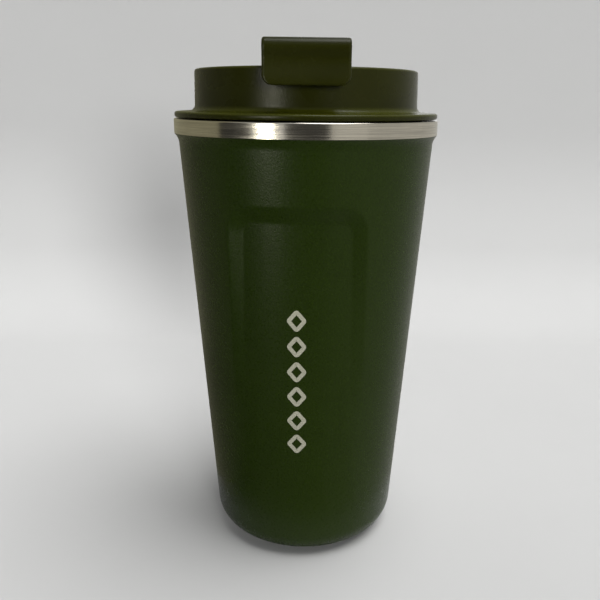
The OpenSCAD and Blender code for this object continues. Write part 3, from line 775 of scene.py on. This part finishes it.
def seal_ring(mug):
    """The sealing ring: a rounded core with two thin fins that reach out to the mouth."""
    out, z0, z1 = SEAL_R, SEAL_LOW_Z, SEAL_TOP_Z
    inner = mug.plug_r + 0.3 * MM
    core = inner + 1.1 * MM
    fin = 0.7 * MM
    corners = [(inner, z0, 0.2 * MM), (core, z0, 0.2 * MM), (out, z0 + fin / 2, 0.12 * MM),
               (out, z0 + fin, 0.12 * MM), (core, z0 + fin + 0.2 * MM, 0.15 * MM),
               (core, z1 - fin - 0.2 * MM, 0.15 * MM), (out, z1 - fin, 0.12 * MM),
               (out, z1 - fin / 2, 0.12 * MM), (core, z1, 0.2 * MM), (inner, z1, 0.2 * MM)]
    return turning(corners, 3)


def drink_stopper(mug):
    """The stopper: a nose in the drinking hole, a sealing brim and a sleeve round the lever's boss."""
    deck = deck_top(mug)
    nose, brim = mug.drink_r - 0.6 * MM, high("spout_stopper", 0)
    base, top = low("spout_stopper", 2), high("spout_stopper", 2)
    boss = nose - 0.78 * MM
    corners = [(0, base, 0), (nose, base, 0.9 * MM), (nose, deck + 0.3 * MM, 0.15 * MM),
               (brim, deck + 0.3 * MM, 0.3 * MM), (brim, deck + 1.9 * MM, 0.5 * MM),
               (brim - 0.6 * MM, top, 0.3 * MM), (boss, top, 0.2 * MM), (boss, deck + DRINK_SHELF, 0),
               (0, deck + DRINK_SHELF, 0)]
    return turning(corners, 4, 96, (0, SPOUT[1]))


def vent_stopper(mug):
    """The little cap on the lever's second boss, which shuts the air hole."""
    base, top = low("vent_plug", 2), high("vent_plug", 2)
    outer, shelf = high("vent_plug", 0), deck_top(mug) + VENT_SHELF
    boss = outer - 0.98 * MM
    corners = [(0, base, 0), (outer, base, 0.5 * MM), (outer, top, 0.3 * MM), (boss, top, 0.15 * MM),
               (boss, shelf, 0), (0, shelf, 0)]
    return turning(corners, 4, 64, (0, VENT[1]))


# ---- shapes of the lever

def lever_top(y, mug):
    """Height of the lever's top at y: level behind the tab, easing down a half cosine to the knuckle."""
    crest, flat = -34 * MM, HINGE[1] - 8 * MM
    base = HINGE[2] + mug.knuckle_r
    s = np.clip((flat - y) / (flat - crest), 0, 1)
    return base + (TAB_Z - base) * (1 - np.cos(math.pi * s)) / 2


def lever_half(y, mug):
    """Half width of the lever at y: full to 20 mm in front of the axis, then straight in to the knuckle."""
    return np.interp(y, [-20 * MM, HINGE[1] - mug.knuckle_r - 1.4 * MM], [LEVER_HALF, mug.knuckle_half])


def lever_path(mug):
    """The outer line of the lever's skin from the tab's lip over its top edge to the knuckle.

    Gives (y, z) of each station, the unit direction into the moulding there and the count on the tab."""
    lip_z = TAB_Z - mug.tab_h
    face = TAB_Y + mug.tab_kick
    crease = lip_z + 0.56 * mug.tab_h
    edge_z = TAB_Z - mug.tab_top_r
    rise = np.concatenate([np.linspace(0, 0.9, 7) * MM, spread([1.3 * MM, edge_z - lip_z], 0.45 * MM)])
    z = lip_z + rise
    under = np.clip((crease - z) / (crease - lip_z), 0, 1)
    upper = np.clip((z - crease) / (edge_z - crease), 0, 1)
    y = face + 0.5 * MM - (mug.tab_kick + 0.5 * MM) * (0.45 * smooth(under) + 0.55 * under)
    tab = np.stack([y - 0.5 * MM * smooth(upper), z], axis=1)
    top = arc((face + mug.tab_top_r, edge_z), mug.tab_top_r, 180, 90, 10)[1:]
    back = spread([face + mug.tab_top_r + 0.5 * MM, HINGE[1]], 1.2 * MM)
    path = np.vstack([tab, top, np.stack([back, lever_top(back, mug)], axis=1)])
    turn = np.radians(np.concatenate([np.zeros(len(tab)), np.linspace(9, 90, 10), np.full(len(back), 90)]))
    return path, np.stack([np.cos(turn), -np.sin(turn)], axis=1), len(tab)


def lever_skin(mug):
    """The tab and the top of the lever: a rounded plate carried along the path, its lip's corners round."""
    path, inward, tab_count = lever_path(mug)
    rise = path[:, 1] - path[0, 1]
    on_tab = np.arange(len(path)) < tab_count
    corner = np.clip(mug.tab_corner_r - rise, 0, mug.tab_corner_r)
    bevel = mug.tab_corner_r - np.sqrt(np.maximum(mug.tab_corner_r ** 2 - corner ** 2, 0))
    half = lever_half(path[:, 0], mug) - np.where(on_tab, bevel, 0)
    wall = np.interp(path[:, 0], [TAB_Y + 4 * MM, TAB_Y + 9 * MM, HINGE[1] - 5 * MM, HINGE[1] - 1.5 * MM],
                     np.array([0, -0.3, -0.3, -1.0]) * MM) + mug.tab_t
    draw = 0.6 * MM * (1 - np.sqrt(1 - np.clip(1 - rise / (0.6 * MM), 0, 1) ** 2)) * on_tab
    sections = []
    for (y, z), (into_y, into_z), side, near, far in zip(path, inward, half, draw, wall - draw):
        flat = filleted([(-side, near, 0.8 * MM), (side, near, 0.8 * MM),
                         (side, far, 0.3 * MM), (-side, far, 0.3 * MM)], 4)
        sections.append(xyz(flat[:, 0], y + flat[:, 1] * into_y, z + flat[:, 1] * into_z))
    return swept(np.array(sections))


def lever_skirt(mug, side):
    """A skirt under the skin's edge: it clears the collar, then drops to just below the hinge's axis."""
    front, end = TAB_Y + 2.8 * MM, HINGE[1] - 1.6 * MM
    inside = -(mug.collar_r - mug.collar_t) + 3.6 * MM
    bridge, foot = COLLAR_Z + 0.3 * MM, HINGE[2] - 0.4 * MM
    back = spread([end, front], 1.5 * MM)
    top = [(y, z, 0) for y, z in zip(back, lever_top(back, mug) - 1 * MM)]
    outline = filleted([(front, bridge, 0), (inside, bridge, 0.8 * MM), (inside, foot, 1.2 * MM),
                        (end, foot, 0)] + top)
    return rounded_plate(outline, 0.02 * MM, 2 * MM, 0.3 * MM,
                         lambda flat, x: xyz(side * (lever_half(flat[..., 0], mug) - x),
                                             flat[..., 0], flat[..., 1]))


def lever_knuckle(mug):
    """The knuckle: a bored barrel with rounded rims, lying across the lever."""
    bore = PIN_R + 0.05 * MM
    half = mug.knuckle_half
    corners = [(bore, -half, 0.15 * MM), (mug.knuckle_r, -half, 0.4 * MM), (mug.knuckle_r, half, 0.4 * MM),
               (bore, half, 0.15 * MM)]
    return across(turning(corners, 4, 96))


def lever_boss(place, radius, shelf, mug):
    """A round boss from the lever's skin down to its stopper, which it meets at shelf above the deck."""
    base, top = deck_top(mug) + shelf, lever_top(place[1], mug) - 1 * MM
    corners = [(0, base, 0), (radius, base, 0.2 * MM), (radius, top, 0), (0, top, 0)]
    return turning(corners, 3, 64, (0, place[1]))


def pin_rod():
    """The hinge pin: a rod with chamfered ends."""
    corners = [(0, -PIN_HALF, 0), (PIN_R, -PIN_HALF, 0.3 * MM), (PIN_R, PIN_HALF, 0.3 * MM), (0, PIN_HALF, 0)]
    return across(turning(corners, 4, 64))


# ---- operators

def bored(piece, holes):
    """Cuts round holes, each (x, y, radius), down through a piece and keeps the result in its mesh."""
    under, above = DECK_UNDER_Z - 5 * MM, COLLAR_Z - 3 * MM
    cutters = [turned(np.array([[0, under], [radius, under], [radius, above], [0, above]]), (x, y), steps=72)
               for x, y, radius in holes]
    tool = solid("bore_tool", cutters, piece.data.materials[0])
    cut = piece.modifiers.new("bores", "BOOLEAN")
    cut.operation, cut.solver, cut.object = "DIFFERENCE", "EXACT", tool
    graph = bpy.context.evaluated_depsgraph_get()
    mesh = bpy.data.meshes.new_from_object(piece.evaluated_get(graph))
    piece.modifiers.remove(cut)
    piece.data = mesh
    bpy.data.objects.remove(tool)
    mesh.polygons.foreach_set("use_smooth", np.ones(len(mesh.polygons), bool))
    mesh.set_sharp_from_angle(angle=math.radians(SHARP_BORE))


class MUG_OT_painted_shell(bpy.types.Operator):
    """Builds the painted outer shell with its grip panels"""

    bl_idname = "mug.painted_shell"
    bl_label = "Painted shell"

    def execute(self, context):
        mesh_piece("painted_shell", [painted_wall(context.scene.mug_sizes)], "cup", "green powder coat",
                   ["outer_shell"])
        return {"FINISHED"}


class MUG_OT_etched_marks(bpy.types.Operator):
    """Lays the plain etched marks on the painted wall"""

    bl_idname = "mug.etched_marks"
    bl_label = "Etched marks"

    def execute(self, context):
        mesh_piece("etched_marks", etched_marks(context.scene.mug_sizes), "cup", "etched steel")
        return {"FINISHED"}


class MUG_OT_steel_liner(bpy.types.Operator):
    """Builds the bare steel liner with its rim band and thread"""

    bl_idname = "mug.steel_liner"
    bl_label = "Steel liner and band"

    def execute(self, context):
        mug = context.scene.mug_sizes
        pitch = mug.thread_lead / THREAD_STARTS
        ridges = thread_ridges(mug.mouth_r + mug.sheet / 2, mug.mouth_r - 1.8 * MM,
                               thread_middle(mug) + pitch / 2, mug)
        mesh_piece("liner_and_band", [inner_cup(mug)] + ridges, "cup", "brushed steel", ["inner_liner"])
        return {"FINISHED"}


class MUG_OT_base_pieces(bpy.types.Operator):
    """Builds the foot pad and finishes the pieces hidden in the base"""

    bl_idname = "mug.base_pieces"
    bl_label = "Base pieces"

    def execute(self, context):
        mesh_piece("foot_pad", [foot_pad()], "cup", "pad rubber", ["base_pad"])
        hidden = {"shell_base": "brushed steel", "seal_bead": "brown solder glass",
                  "getter": "sintered getter", "getter_strap": "brushed steel"}
        for name, look in hidden.items():
            materials = frame["nodes"][name].data.materials
            materials.clear()
            materials.append(finish(look))
        return {"FINISHED"}


class MUG_OT_lid_moulding(bpy.types.Operator):
    """Builds the lid's flange, collar and deck, its hinge ears and its stop rib"""

    bl_idname = "mug.lid_moulding"
    bl_label = "Lid moulding"

    def execute(self, context):
        mug = context.scene.mug_sizes
        # the moulding's faces that look up carry painted top light
        lid = mesh_piece("lid_moulding", [lid_turning(mug)], "lid", "handled olive plastic", ["lid_body"])
        bored(lid, [(0, SPOUT[1], mug.drink_r), (0, VENT[1], mug.vent_r)])
        mesh_piece("hinge_ears", [hinge_ear(mug, -1), hinge_ear(mug, 1)], "lid", "olive plastic")
        mesh_piece("stop_rib", [stop_rib(mug)], "lid", "olive plastic")
        return {"FINISHED"}


class MUG_OT_threaded_plug(bpy.types.Operator):
    """Builds the threaded plug under the lid"""

    bl_idname = "mug.threaded_plug"
    bl_label = "Threaded plug"

    def execute(self, context):
        mug = context.scene.mug_sizes
        ridges = thread_ridges(mug.plug_r - 0.6 * MM, mug.plug_r + 1.5 * MM, thread_middle(mug), mug)
        mesh_piece("threaded_plug", [plug_skirt(mug)] + ridges, "lid", "olive plastic", ["lid_plug"])
        return {"FINISHED"}


class MUG_OT_silicone_pieces(bpy.types.Operator):
    """Builds the sealing ring and the two stoppers"""

    bl_idname = "mug.silicone_pieces"
    bl_label = "Silicone pieces"

    def execute(self, context):
        mug = context.scene.mug_sizes
        for name, part, body, node_name in (("sealing_ring", seal_ring(mug), "seal", "lid_seal"),
                                            ("drink_stopper", drink_stopper(mug), "lever", "spout_stopper"),
                                            ("vent_cap", vent_stopper(mug), "lever", "vent_plug")):
            mesh_piece(name, [part], body, "dark silicone", [node_name])
        return {"FINISHED"}


class MUG_OT_lever(bpy.types.Operator):
    """Builds the flip lever with its tab, knuckle and bosses, and the hinge pin"""

    bl_idname = "mug.lever"
    bl_label = "Flip lever and pin"

    def execute(self, context):
        mug = context.scene.mug_sizes
        arm = [lever_skin(mug), lever_skirt(mug, -1), lever_skirt(mug, 1)]
        mesh_piece("lever_arm", arm, "lever", "olive plastic", ["flip_lever"])
        mesh_piece("lever_knuckle", [lever_knuckle(mug)], "lever", "olive plastic")
        bosses = [lever_boss(SPOUT, mug.drink_r - 1.4 * MM, DRINK_SHELF, mug),
                  lever_boss(VENT, 1.8 * MM, VENT_SHELF, mug)]
        mesh_piece("lever_bosses", bosses, "lever", "olive plastic")
        mesh_piece("pin_rod", [pin_rod()], "lid", "brushed steel", ["hinge_pin"])
        return {"FINISHED"}


# ---- the studio

def camera_matrix(studio):
    """Places the camera at its distance and height, then turns it by yaw, pitch and roll."""
    return (Matrix.Translation((0, -studio.eye_distance, studio.eye_height))
            @ Matrix.Rotation(-studio.eye_yaw, 4, "Z")
            @ Matrix.Rotation(math.pi / 2 - studio.eye_pitch, 4, "X")
            @ Matrix.Rotation(studio.eye_roll, 4, "Z"))


def towards(azimuth, elevation):
    """Turns +Z to an azimuth from the front, positive to the right, and an elevation, in degrees."""
    return (Matrix.Rotation(math.radians(azimuth), 4, "Z")
            @ Matrix.Rotation(math.radians(90 - elevation), 4, "X"))


def lamp(name, kind, matrix):
    """A lamp of a kind, placed by its matrix."""
    obj = bpy.data.objects.new(name, bpy.data.lights.new(name, kind))
    obj.matrix_world = matrix
    bpy.context.scene.collection.objects.link(obj)
    return obj


def softbox(name, azimuth, elevation, distance, width, height, glow, tint):
    """An upright area lamp that faces the mug and is only seen in reflections; a glow of 1 is white."""
    mug_middle = Matrix.Translation((0, 0, 90 * MM))
    obj = lamp(name, "AREA", mug_middle @ towards(azimuth, elevation) @ Matrix.Translation((0, 0, distance)))
    obj.data.shape = "RECTANGLE"
    obj.data.size, obj.data.size_y = width, height
    obj.data.energy = glow * math.pi * width * height
    obj.data.color = tint
    obj.visible_diffuse = obj.visible_camera = False


def sky_lamp(name, azimuth, elevation, light, spread, shine=True):
    """A distant round lamp of the given spread; a white floor that faces it has the brightness light."""
    obj = lamp(name, "SUN", towards(azimuth, elevation))
    obj.data.energy, obj.data.angle = light * math.pi, math.radians(spread)
    obj.visible_glossy = shine


def card(name, start, end, lying, standing, reach=0.6, tint=(1.0, 0.99, 0.91)):
    """A card between two azimuths that only reflections see: a part that lies on the floor as far as reach
    and a part that stands there, each with its own brightness, where 1 is white."""
    columns, near, floor, top = 9, 0.05, 0.0015, 0.5
    turn = np.radians(np.linspace(start, end, columns))
    for part, first_r, last_z, level in (("lying", near, floor, lying), ("standing", reach, top, standing)):
        if level is None:
            continue
        radius, height = np.array([[first_r], [reach]]), np.array([[floor], [last_z]])
        points = xyz(np.sin(turn) * radius, -np.cos(turn) * radius, height)
        look = Finish(name + "_" + part)
        look.shaded(Base_Color=(0, 0, 0), Specular_IOR_Level=0.0, Emission_Color=tinted(tint, level),
                    Emission_Strength=1.0)
        obj = solid(name + "_" + part, [(points.reshape(-1, 3), [grid_faces(2, columns)])], look.material)
        obj.visible_camera = obj.visible_diffuse = obj.visible_shadow = False


def pale_world(name, light, pale):
    """Air that lights the scene evenly, and is pale grey where it is seen, mirrored or looked through."""
    world = bpy.data.worlds.new(name)
    world.use_nodes = True
    tree = world.node_tree
    seen = node(tree, "LightPath", "Is Camera Ray")
    for ray in ("Is Glossy Ray", "Is Transmission Ray"):
        seen = node(tree, "Math", "Value", seen, node(tree, "LightPath", ray))
        seen.node.operation = "MAXIMUM"
    air = tree.nodes["Background"]
    feed(tree, air.inputs["Color"], (0.96, 0.98, 1.0))
    feed(tree, air.inputs["Strength"], node(tree, "MapRange", "Result", Value=seen, To_Min=light, To_Max=pale))
    return world


def paper(name, base, wall):
    """Pale paper with a barely visible mottling; it is base on the floor and wall where it stands upright."""
    look = Finish(name)
    mottle, upright_z = look.noise(60 * MM, 3.0), 45 * MM
    tone = look.mixed(look.ranged(look.upward(look.place), 0, 1, 0.0, upright_z), base, wall)
    return look.shaded(Base_Color=look.mixed(look.ranged(mottle, 0, 0.03), tone, (0.3, 0.3, 0.3)),
                       Roughness=look.ranged(mottle, 0.75, 0.80), Specular_IOR_Level=0.0)


def sweep_sheet():
    """Floor and backdrop in one sheet: flat, then a quarter circle up to an upright wall, carried along X."""
    turn_y, radius, top, front, half = 0.20, 0.14, 1.4, -2.0, 2.2
    bend = arc((turn_y, radius), radius, -90, 0, 24)
    line = np.vstack([[[front, 0], [front / 2, 0], [-0.3, 0]], bend, [[turn_y + radius, top]]])
    points = xyz(np.linspace(-half, half, 12), line[:, :1], line[:, 1:])
    return points.reshape(-1, 3), [grid_faces(*points.shape[:2])]


class MUG_OT_studio(bpy.types.Operator):
    """Sets up the camera, the pale sheet, the lamps and the world"""

    bl_idname = "mug.studio"
    bl_label = "Studio"

    def execute(self, context):
        scene = context.scene
        studio = scene.mug_studio
        data = bpy.data.cameras.new("camera")
        data.sensor_width, data.clip_start = 36.0, 10 * MM
        data.lens, data.shift_x = studio.lens, studio.eye_shift
        camera = bpy.data.objects.new("camera", data)
        camera.matrix_world = camera_matrix(studio)
        scene.collection.objects.link(camera)
        scene.camera = camera
        sheet = solid("sweep_sheet", [sweep_sheet()], paper("sheet", studio.floor_colour, studio.wall_colour))
        sheet.visible_shadow = False
        # lamps: azimuth, elevation, brightness, spread; cards: two azimuths, brightness lying and standing
        sky_lamp("sky", 75, 71, 0.88, 46)
        sky_lamp("fill", 168, 26, 0.42, 60, shine=False)
        sky_lamp("key", 19, 10, 0.72, 18, shine=False)
        softbox("window", -32.5, 11, 0.8, 0.11, 0.46, 16.0, (1.0, 0.97, 0.82))
        card("far_left", -178, -68, 0.20, 0.28, 0.2, (1.0, 0.96, 0.66))
        card("left", -78, -44, 0.04, 0.04)
        card("under_window", -44, -17, 0.10, None)
        card("front", -17, 19, 0.13, 0.06)
        card("right_front", 19, 52, 0.28, 0.62)
        card("right", 46, 150, 0.46, 0.50, 0.2)
        card("right_back", 150, 178, 0.36, 1.3, 0.2)
        scene.world = pale_world("studio_air", light=0.05, pale=0.55)
        scene.view_settings.view_transform = "Standard"
        return {"FINISHED"}


class MUG_PT_looks(bpy.types.Panel):
    """Lists the sizes, the colours and the steps that build the mug"""

    bl_idname = "MUG_PT_looks"
    bl_label = "Travel mug"
    bl_space_type = "VIEW_3D"
    bl_region_type = "UI"
    bl_category = "Mug"

    def draw(self, context):
        scene = context.scene
        for operator in OPERATORS:
            self.layout.operator(operator.bl_idname)
        for group in (scene.mug_sizes, scene.mug_colours, scene.mug_studio):
            box = self.layout.box()
            for name in group.__annotations__:
                box.prop(group, name)


OPERATORS = (MUG_OT_studio, MUG_OT_painted_shell, MUG_OT_etched_marks, MUG_OT_steel_liner, MUG_OT_base_pieces,
             MUG_OT_lid_moulding, MUG_OT_threaded_plug, MUG_OT_silicone_pieces, MUG_OT_lever)
GROUPS = {"mug_sizes": MugSizes, "mug_colours": MugColours, "mug_studio": MugStudio}


def register():
    """Registers the property groups, the operators and the panel."""
    for name, group in GROUPS.items():
        bpy.utils.register_class(group)
        setattr(bpy.types.Scene, name, bpy.props.PointerProperty(type=group))
    for operator in OPERATORS:
        bpy.utils.register_class(operator)
    bpy.utils.register_class(MUG_PT_looks)


def unregister():
    """Takes back what register added."""
    bpy.utils.unregister_class(MUG_PT_looks)
    for operator in reversed(OPERATORS):
        bpy.utils.unregister_class(operator)
    for name, group in GROUPS.items():
        delattr(bpy.types.Scene, name)
        bpy.utils.unregister_class(group)


def main():
    """Registers the add-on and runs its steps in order."""
    register()
    for operator in OPERATORS:
        group, name = operator.bl_idname.split(".")
        getattr(getattr(bpy.ops, group), name)()


if __name__ == "__main__":
    main()
